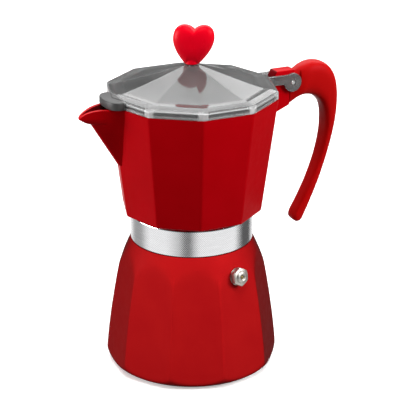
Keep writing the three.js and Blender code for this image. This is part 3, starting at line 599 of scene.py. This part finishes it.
def remeshed(made, voxel, smooth):
    """Melts joined solids into one smooth skin."""
    step = made.modifiers.new("remesh", "REMESH")
    step.mode = "VOXEL"
    step.voxel_size = voxel * MM
    soften = made.modifiers.new("smooth", "SMOOTH")
    soften.factor = 0.5
    soften.iterations = smooth
    return baked(made)


def shade(made, angle=32):
    """Smooth shading that keeps the edges above an angle crisp."""
    work = bmesh.new()
    work.from_mesh(made.data)
    bmesh.ops.remove_doubles(work, verts=work.verts, dist=1e-7)
    bmesh.ops.dissolve_degenerate(work, edges=work.edges, dist=1e-7)
    bmesh.ops.recalc_face_normals(work, faces=work.faces)
    limit = math.radians(angle)
    for face in work.faces:
        face.smooth = True
    for edge in work.edges:
        edge.smooth = not (len(edge.link_faces) == 2 and edge.calc_face_angle(0) > limit)
    work.to_mesh(made.data)
    work.free()
    return made


def place_piece(made, body, slot, *nodes, material=None, angle=32):
    """Finishes a fine piece: shading, material, the body it rides on and the CAD nodes it stands in for."""
    shade(made, angle)
    made.data.materials.clear()
    made.data.materials.append(MATERIALS[material or slot])
    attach(made, body)
    if nodes:
        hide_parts(*nodes)
    return made


# ---- Boiler ---------------------------------------------------------------------------------------

BOILER_CORNER = math.radians(14.6)
BOILER_RADIUS = 54.9
BOILER_SIDE = ((BOILER_RADIUS, 4), (52.2, 38), (43.2, 80))
SHOULDER = ((52.2, 49.8), (41.5, 78.5), (38.4, 83))
FOOT = 9


def curve_at(curve, height):
    """Radius of a (radius, height) polyline at a height."""
    for (r0, z0), (r1, z1) in zip(curve, curve[1:]):
        if z0 <= height <= z1:
            return r0 + (r1 - r0) * (height - z0) / (z1 - z0)
    return curve[0][0] if height < curve[0][1] else curve[-1][0]


VALVE_TURN = math.radians(-75.4)
VALVE_HEIGHT = 68.8
VALVE_SHANK = 4
VALVE_PORT = VALVE_SHANK + FIT


def onto_wall(made):
    """Moves a piece drawn along Z onto the boiler's wall, square to it."""
    side = bezier(BOILER_SIDE, 60)
    below, here, above = (APOTHEM * curve_at(side, VALVE_HEIGHT + step) for step in (-1, 0, 1))
    lean = math.atan2(below - above, 2)
    level = math.cos(lean)
    out = Vector((math.cos(VALVE_TURN) * level, math.sin(VALVE_TURN) * level, math.sin(lean)))
    across = Vector((-math.sin(VALVE_TURN), math.cos(VALVE_TURN), 0))
    axes = Matrix((across.cross(out), across, out)).transposed()
    place = Vector((here * math.cos(VALVE_TURN), here * math.sin(VALVE_TURN), VALVE_HEIGHT)) * MM
    made.data.transform(Matrix.Translation(place) @ axes.to_4x4())
    return made


def make_boiler():
    side = bezier(BOILER_SIDE, 40) + [(43.2, 83)]
    shoulder = bezier(SHOULDER, 30)
    flat = BOILER_RADIUS - FOOT
    foot = arc((flat, FOOT), FOOT, -90, 0, 14)
    between = [FOOT + 1.7 * i for i in range(1, 24)]
    heights = sorted({round(z, 3) for z in [z for _, z in foot] + between + [z for _, z in shoulder[1:]]})
    round_curve = foot + [(BOILER_RADIUS, 30)] + shoulder
    rings = [[(0, 0, 0)], faceted_ring(flat - 1, 0, corner=BOILER_CORNER, round_radius=flat - 1)]
    for z in heights:
        rings.append(faceted_ring(curve_at(side, z), z, 260, BOILER_CORNER, curve_at(round_curve, z), 160))
    neck = [(33, 83), (33, 96.4), (32.5, 97), (29.7, 97), (29.2, 96.5), (29.2, 84.5), (31, 81.5), (37, 77.5)]
    inside = [(40.5, 70), (44, 50), (47, 30), (48.8, 14), (48.2, 8), (44, 4.4), (40, 4), (0, 4)]
    for r, z in neck + inside:
        rings.append(circle_like(r, z))
    body = loft("boiler_cast", rings)
    port = turned("port", rectangle(0, -12, VALVE_PORT, 6), 48)
    combined(body, onto_wall(port), "DIFFERENCE")
    return place_piece(body, "boiler_body", "red_paint", "boiler", material="boiler_paint")


make_boiler()


# ---- Safety valve ---------------------------------------------------------------------------------

def make_valve():
    flats, face, top = 10.4, 1.2, 4.6
    corner = flats / 2 / math.cos(math.pi / 6)
    hexagon = prism("hex_nut", arc((0, 0), corner, 0, 300, 5), face, top, "xy")
    cone = [(0, face - 1), (corner - 0.2, face - 1), (corner - 0.2, face + 0.1), (corner + 0.15, face + 0.4),
            (corner + 0.15, top - 0.65), (flats / 2 - 0.25, top), (0, top)]
    combined(hexagon, turned("chamfer", cone, 96), "INTERSECT")
    dome = [(0, top - 0.5), (3.85, top - 0.5), (3.85, top + 0.25), (3.6, top + 0.75), (3.1, top + 1.1),
            (2.4, top + 1.3), (1.9, top + 1.22), (1.9, top + 0.7), (0, top + 0.7)]
    combined(hexagon, turned("dome", dome, 64), "UNION")
    shank = rectangle(0, -6.6, VALVE_SHANK, face + 0.5)
    combined(hexagon, turned("shank", shank, 64), "UNION")
    bore = [(0, -7.6), (2.9, -7.6), (2.9, top - 0.8), (1.4, top - 0.8), (1.4, top + 4), (0, top + 4)]
    combined(hexagon, turned("bore", bore, 48), "DIFFERENCE")
    bevelled(hexagon, 0.12, 2, 35)
    place_piece(onto_wall(hexagon), "boiler_body", "nickel", "valve_body")
    ring = [(VALVE_PORT, 0.15), (5.5, 0.15), (5.5, 0.75), (5.35, 0.9), (VALVE_PORT, 0.9)]
    washer = onto_wall(turned("washer_ring", ring, 64, closed=True))
    place_piece(washer, "boiler_body", "nickel", "valve_washer")
    stem = [(0, -4.4), (2.4, -4.4), (2.5, -4.3), (2.5, -3.4), (1, -3.4), (1, 5.3), (0.8, 5.6), (0, 5.75)]
    place_piece(onto_wall(turned("relief_stem", stem, 48)), "valve_stem", "brass", "valve_piston")


make_valve()


# ---- Collar band ----------------------------------------------------------------------------------

def make_band():
    low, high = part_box("collar_band")
    outer, bottom, top = high.x / MM, low.z / MM, high.z / MM
    inner = 37.25
    profile = [(inner, bottom), (outer - 0.45, bottom), (outer - 0.12, bottom + 0.1), (outer, bottom + 0.45),
               (outer, bottom + 0.6), (outer, top - 0.6), (outer, top - 0.45), (outer - 0.12, top - 0.1),
               (outer - 0.45, top), (inner, top)]
    band = turned("polished_collar_band", profile, 240, closed=True)
    place_piece(band, "collector_body", "polished_band", "collar_band")


make_band()


# ---- Collector ------------------------------------------------------------------------------------

RIM = 175.2
RIM_RADIUS, LOW_RADIUS, UNDERCUT_TOP = 53.7, 44.2, 102.7
SPOUT_HALF, SPOUT_NOSE, SPOUT_WALL, SPOUT_ROOT = math.radians(25), 2.4, 2.0, 42
KEEL = ((49.43, 137), (67, 165.6), (70.6, 167), (74, 169.1), (74.7, 170.2), (74.7, RIM))


def body_radius(height):
    """Corner radius of the collector's flared body."""
    return LOW_RADIUS + (RIM_RADIUS - LOW_RADIUS) * (height - UNDERCUT_TOP) / (RIM - UNDERCUT_TOP)


def straight_keel(height):
    """Where the keel's line would be if it did not flare."""
    (low, z0), (high, z1) = KEEL[0], KEEL[1]
    return low + (high - low) * (height - z0) / (z1 - z0)


def spout_ring(place, height, inset=0.0, lift=0.0, steps=14):
    """The spout in plan: straight sides, and a nose that alone follows the flare."""
    nose = SPOUT_NOSE - inset
    centre = place - inset - nose
    line = straight_keel(height) - inset - nose
    legs = [-SPOUT_ROOT - share * (line - SPOUT_ROOT) for share in (0, 0.4, 0.62, 0.74)]
    wide = [nose / math.cos(SPOUT_HALF) + (line + x) * math.tan(SPOUT_HALF) for x in legs]
    ring = list(zip(legs, wide))
    for i in range(steps + 1):
        turn = (1 - 2 * i / steps) * (math.pi / 2 - SPOUT_HALF)
        ring.append((-centre - nose * math.cos(turn), nose * math.sin(turn)))
    ring += [(x, -y) for x, y in reversed(ring[:len(legs)])]
    return [(x, y, height + lift) for x, y in ring]


def keel_line():
    return [KEEL[0], *spline(KEEL[1:5], 5), KEEL[5]]


def make_collector():
    skirt, foot = 36.95, 83.9
    rings = [[(0, 0, foot)], circle_like(skirt, foot), circle_like(skirt, 100.3)]
    outer = [(38.7, 100.5), (43.5, 102.45), (44, 102.75), (body_radius(103.6), 103.6), (RIM_RADIUS, RIM)]
    rings += [faceted_ring(r, z, 260) for r, z in outer]
    rings.append([(0, 0, RIM)])
    body = loft("collector_cast", rings)
    spout = loft("spout", [spout_ring(p, z) for p, z in keel_line()])
    combined(body, spout, "UNION")
    combined(body, make_lug(), "UNION")
    dip = [(-90, 160), (-74.9, 169.9), *bezier([(-74.7, 170.2), (-70.2, RIM), (-60.7, RIM)], 16),
           (-60.7, 190), (-90, 190)]
    combined(body, prism("dip", dip, -30, 30), "DIFFERENCE")
    wall = 3.3
    above = RIM + 2
    cavity = [(0, 111.3), (8.3, 111.3), (26.5, 106.3), (38, 106.3), (40.1, 107), (41.3, 109),
              (body_radius(112) - wall, 112), (body_radius(above) - wall, above), (0, above)]
    combined(body, loft("cavity", [faceted_ring(r, z, 120) for r, z in cavity]), "DIFFERENCE")
    channel_lift, channel_top = 1.3, 6
    inner = [spout_ring(p, z, SPOUT_WALL, channel_lift) for p, z in keel_line()]
    inner.append(spout_ring(*KEEL[5], SPOUT_WALL, channel_top))
    combined(body, loft("channel", inner), "DIFFERENCE")
    below = [(0, 82), (34.5, 82), (34.5, 103.1), (26.5, 103.1), (4.6, 107.8), (4.6, 113), (0, 113)]
    combined(body, turned("underside", below, 96), "DIFFERENCE")
    bevelled(body, 0.35, 2, 50)
    return place_piece(body, "collector_body", "red_paint", "collector")


PIVOT = (66.9, 176.4)
LUG_HALF, LUG_NECK, LUG_FRONT = 4.3, 66, 69.6
LUG_FOOT, LUG_STEP, LUG_TOP = 154.4, 171.3, 184
TENON_HALF, TENON_END, TENON_LOW, TENON_HIGH = 2.5, 80, 170.4, 179.4


def make_lug():
    """The lug on the collector's rim, with the tenon that the handle slides over."""
    reach = 12.9
    low = math.degrees(math.asin((RIM - PIVOT[1]) / reach))
    high = math.degrees(math.asin((LUG_TOP - PIVOT[1]) / reach))
    outline = [(body_radius(LUG_FOOT) - 1.5, LUG_FOOT), (LUG_NECK, LUG_FOOT + 7), (LUG_NECK, LUG_STEP),
               (LUG_FRONT, LUG_STEP), (LUG_FRONT, LUG_TOP - 0.6), (LUG_FRONT - 0.6, LUG_TOP),
               *arc(PIVOT, reach, 180 - high, 180 - low, 10), (RIM_RADIUS - 2, RIM)]
    lug = prism("lug", outline, -LUG_HALF, LUG_HALF)
    bevelled(lug, 0.5, 3, 50)
    tenon = prism("tenon", rectangle(62, TENON_LOW, TENON_END, TENON_HIGH), -TENON_HALF, TENON_HALF)
    return combined(lug, tenon, "UNION")


make_collector()


# ---- Lid ------------------------------------------------------------------------------------------

LID_WALL = 2.0
LID_BOTTOM = 175.5
LID_APEX = 194.9
TONGUE_TOP = 180.5
EAR_RADIUS, EAR_THICKNESS = 6, 2.5
PIN_RADIUS, PIN_HOLE = 1.5, 1.8
KNOB_HOLE = 1.8


def lid_profile(inset):
    """The lid's outline from its rim to its top, or its inside when inset."""
    ogee = bezier([(44.5, 182.1 - inset), (36, 183.9 - inset), (20, 189.5 - inset), (4.9, 194.6 - inset)], 28)
    rim = RIM_RADIUS - inset
    return [(rim, 179.9 - inset), (rim - 0.9, 180.85 - inset), (48.8 - inset / 3, 181.95 - inset),
            (48.2 - inset / 3, 182.0 - inset), *ogee]


def rounded_tongue(inset, low, high):
    """The cover over the spout, round at its end."""
    half, reach = 12.6 - inset, 59 - inset
    outline = [(-40, half), (-40, -half), *bezier([(-52, -half), (-reach, -half), (-reach, 0)], 14),
               *bezier([(-reach, 0), (-reach, half), (-52, half)], 14)[1:]]
    return prism("tongue", outline, low, high, "xy")


def crosswise_bar(name, radius, half, chamfer=0.0):
    """A bar along the hinge's line, its ends eased off."""
    profile = [(0, -half), (radius - chamfer, -half), (radius, chamfer - half), (radius, half - chamfer),
               (radius - chamfer, half), (0, half)]
    if chamfer == 0:
        profile = [(0, -half), (radius, -half), (radius, half), (0, half)]
    made = turned(name, profile, 48)
    place = Vector((PIVOT[0], 0, PIVOT[1])) * MM
    made.data.transform(Matrix.Translation(place) @ Matrix.Rotation(math.pi / 2, 4, "X"))
    return made


def make_ear(side):
    root, bottom, top = 50.1, 175.7, 181.5
    bend = math.degrees(math.asin((bottom - PIVOT[1]) / EAR_RADIUS))
    outline = [(root, top), (root, bottom), *arc(PIVOT, EAR_RADIUS, 180 - bend, 450, 40), (63.9, top)]
    inner = LUG_HALF + FIT
    outer = inner + EAR_THICKNESS
    low, high = (inner, outer) if side > 0 else (-outer, -inner)
    return bevelled(prism("ear", outline, low, high), 0.45, 3, 50)


def make_lid():
    outside = [(0, LID_BOTTOM), (RIM_RADIUS - 0.3, LID_BOTTOM), (RIM_RADIUS, LID_BOTTOM + 0.3)]
    outside += lid_profile(0) + [(0, LID_APEX)]
    body = loft("lid_clear", [faceted_ring(r, z, 260) for r, z in outside])
    cover = bevelled(rounded_tongue(0, LID_BOTTOM, TONGUE_TOP), 0.8, 3, 50)
    combined(body, cover, "UNION")
    below = LID_BOTTOM - 1
    rim = RIM_RADIUS - LID_WALL
    inside = [(0, below), (rim, below)] + lid_profile(LID_WALL) + [(0, LID_APEX - LID_WALL)]
    combined(body, loft("inside", [faceted_ring(r, z, 260) for r, z in inside]), "DIFFERENCE")
    combined(body, rounded_tongue(LID_WALL, below, TONGUE_TOP - LID_WALL), "DIFFERENCE")
    combined(body, make_ear(1), "UNION")
    combined(body, make_ear(-1), "UNION")
    combined(body, crosswise_bar("pin_hole", PIN_HOLE, 20), "DIFFERENCE")
    hole = turned("hole", rectangle(0, LID_APEX - 9.9, KNOB_HOLE, LID_APEX + 2.1), 48)
    combined(body, hole, "DIFFERENCE")
    return place_piece(body, "lid_body", "smoky_plastic", "lid", angle=25)


make_lid()
hinge_rod = crosswise_bar("hinge_rod", PIN_RADIUS, LUG_HALF + FIT + EAR_THICKNESS, 0.35)
place_piece(hinge_rod, "collector_body", "steel", "hinge_pin")


# ---- Knob -----------------------------------------------------------------------------------------

HEART_TALL, HEART_THICK, HEART_LEAN = 24.3, 11.4, 1.7
KNOB_BASE = 195.3
KNOB_TURN = math.radians(-33)


def heart_outline(steps):
    half, foot, tall = 12.7, 4.4, HEART_TALL
    widest, lobe, notch = (half, 0.66 * tall), (0.49 * half, tall), (0, 0.875 * tall)
    right = bezier([(foot, 0), (foot + 3.1, 0.14 * tall), (half, 0.4 * tall), widest], steps)
    right += bezier([widest, (half, 0.89 * tall), (0.76 * half, tall), lobe], steps)[1:]
    right += bezier([lobe, (0.28 * half, tall), (0.1 * half, 0.95 * tall), notch], steps)[1:]
    return right + [(-x, z) for x, z in reversed(right[:-1])]


def make_knob():
    """A heart whose slices shrink towards its two faces, and turn from a heart into an oval."""
    base, thick, lean = KNOB_BASE, HEART_THICK, HEART_LEAN / HEART_TALL
    outline = heart_outline(18)
    middle, oval_x, oval_z = 13.5, 9.6, 9.4
    rings = []
    for level in [math.radians(a) for a in range(-84, 85, 7)]:
        share = math.cos(level) ** 0.5
        y = thick / 2 * math.copysign(abs(math.sin(level)) ** 0.92, level)
        ring = []
        for x, z in outline:
            turn = math.atan2(z - middle, x)
            across, up = oval_x * math.cos(turn), oval_z * math.sin(turn)
            near = share ** 2.2
            ring.append(((across + (x - across) * near) * share, -y,
                         base + middle + (up + (z - middle - up) * near) * share))
        rings.append(ring)
    heart = loft("heart_knob", rings)
    neck = turned("neck", [(0, base), (4, base), (4.2, base + 0.3), (4.1, base + 3), (4, base + 8),
                           (0, base + 8)], 64)
    combined(heart, neck, "UNION")
    remeshed(heart, 0.28, 5)
    for vertex in heart.data.vertices:
        vertex.co.x += lean * (vertex.co.z - base * MM)
    heart.data.transform(Matrix.Rotation(KNOB_TURN, 4, "Z"))
    return place_piece(heart, "lid_body", "heart_red", "knob", angle=180)


make_knob()


# ---- Handle ---------------------------------------------------------------------------------------

# The handle seen from the side, in step with each other from the lug to the tip.
HANDLE_BACK = (
    (64, 178.5), (69.9, 182.7), (76, 185.9), (83.5, 187.4), (91.5, 185.4), (97.5, 179.3), (100.25, 170),
    (100.45, 157), (98.3, 141.5), (94.2, 124.5), (88.6, 107.5), (82.2, 92.5), (78.6, 85), (76.9, 82.3),
    (74.6, 80.8))
HANDLE_GRIP = (
    (64, 159.8), (68.5, 162.4), (72.3, 165), (76.5, 166.2), (81.5, 165.6), (86.3, 163), (90.2, 158.2),
    (92.3, 150.5), (92.2, 139), (88.9, 124.3), (83.1, 108.8), (76.4, 95.4), (71.9, 87.4), (71.1, 83.3),
    (73, 80.9))
HANDLE_WIDE, HANDLE_TIP, HANDLE_ROOT = 14.4, 12, 9
SQUARENESS = 3.1
SCREW_X, SCREW_SEAT, SCREW_HEAD, SCREW_HOLE = 77, 169.2, 3.2, 1.8


def ease(value, low, high):
    """A soft step from 0 at `low` to 1 at `high`."""
    t = min(max((value - low) / (high - low), 0), 1)
    return t * t * (3 - 2 * t)


def handle_width(x, z):
    """Narrow at the lug, full round the bend, a little less at the tip."""
    front = ease(x, 66, 78)
    down = ease(PIVOT[1] - z, 20, 90)
    wide = HANDLE_WIDE + (HANDLE_TIP - HANDLE_WIDE) * down
    return HANDLE_ROOT + (wide - HANDLE_ROOT) * max(front, down)


def squared(value):
    """Turns a round section's sine or cosine into one of a squarer section."""
    return math.copysign(abs(value) ** (2 / SQUARENESS), value)


def make_handle():
    back, grip = spline(HANDLE_BACK, 8), spline(HANDLE_GRIP, 8)
    sides = 40
    rings = []
    for a, b in zip(back, grip):
        a, b = Vector(a), Vector(b)
        middle = (a + b) / 2
        fullness = min(1, (a - b).length / 9)
        half = handle_width(*middle) / 2 * math.sqrt(1 - (1 - fullness) ** 2)
        ring = []
        for i in range(sides):
            turn = 2 * math.pi * (i + 0.5) / sides
            out = middle.lerp(a, squared(math.cos(turn)))
            ring.append((out.x, -half * squared(math.sin(turn)), out.y))
        rings.append(ring)
    body = loft("hook_handle", rings)
    front, upper, step = LUG_NECK + FIT, LUG_FRONT + FIT, LUG_STEP - FIT
    room = [(40, 130), (front, 130), (front, step), (upper, step), (upper, 200), (40, 200)]
    combined(body, prism("lug_room", room, -12, 12), "DIFFERENCE")
    socket = rectangle(60, TENON_LOW - FIT, TENON_END + FIT, TENON_HIGH + FIT)
    combined(body, prism("socket", socket, -TENON_HALF - FIT, TENON_HALF + FIT), "DIFFERENCE")
    radius = EAR_RADIUS + 0.4
    swing = [(45, 206), (45, PIVOT[1]), *arc(PIVOT, radius, 180, 360, 40), (PIVOT[0] + radius + FIT, 206)]
    inner = LUG_HALF + 0.1
    combined(body, prism("room", swing, inner, inner + 15), "DIFFERENCE")
    combined(body, prism("room", swing, -inner - 15, -inner), "DIFFERENCE")
    bore = turned("bore", [(0, 150), (SCREW_HEAD, 150), (SCREW_HEAD, SCREW_SEAT), (SCREW_HOLE, SCREW_SEAT),
                           (SCREW_HOLE, 174), (0, 174)], 48)
    bore.location.x = SCREW_X * MM
    bpy.context.view_layer.update()
    combined(body, bore, "DIFFERENCE")
    bevelled(body, 0.25, 2, 50)
    return place_piece(body, "collector_body", "red_plastic", "handle")


make_handle()


# ---- Carried-over CAD pieces ----------------------------------------------------------------------

shown_slots = {s["node"]: s["material_slot"] for s in frame["record"]["subparts"]}
for node, made in frame["nodes"].items():
    if not made.hide_render:
        made.data.materials.clear()
        made.data.materials.append(MATERIALS[shown_slots[node]])
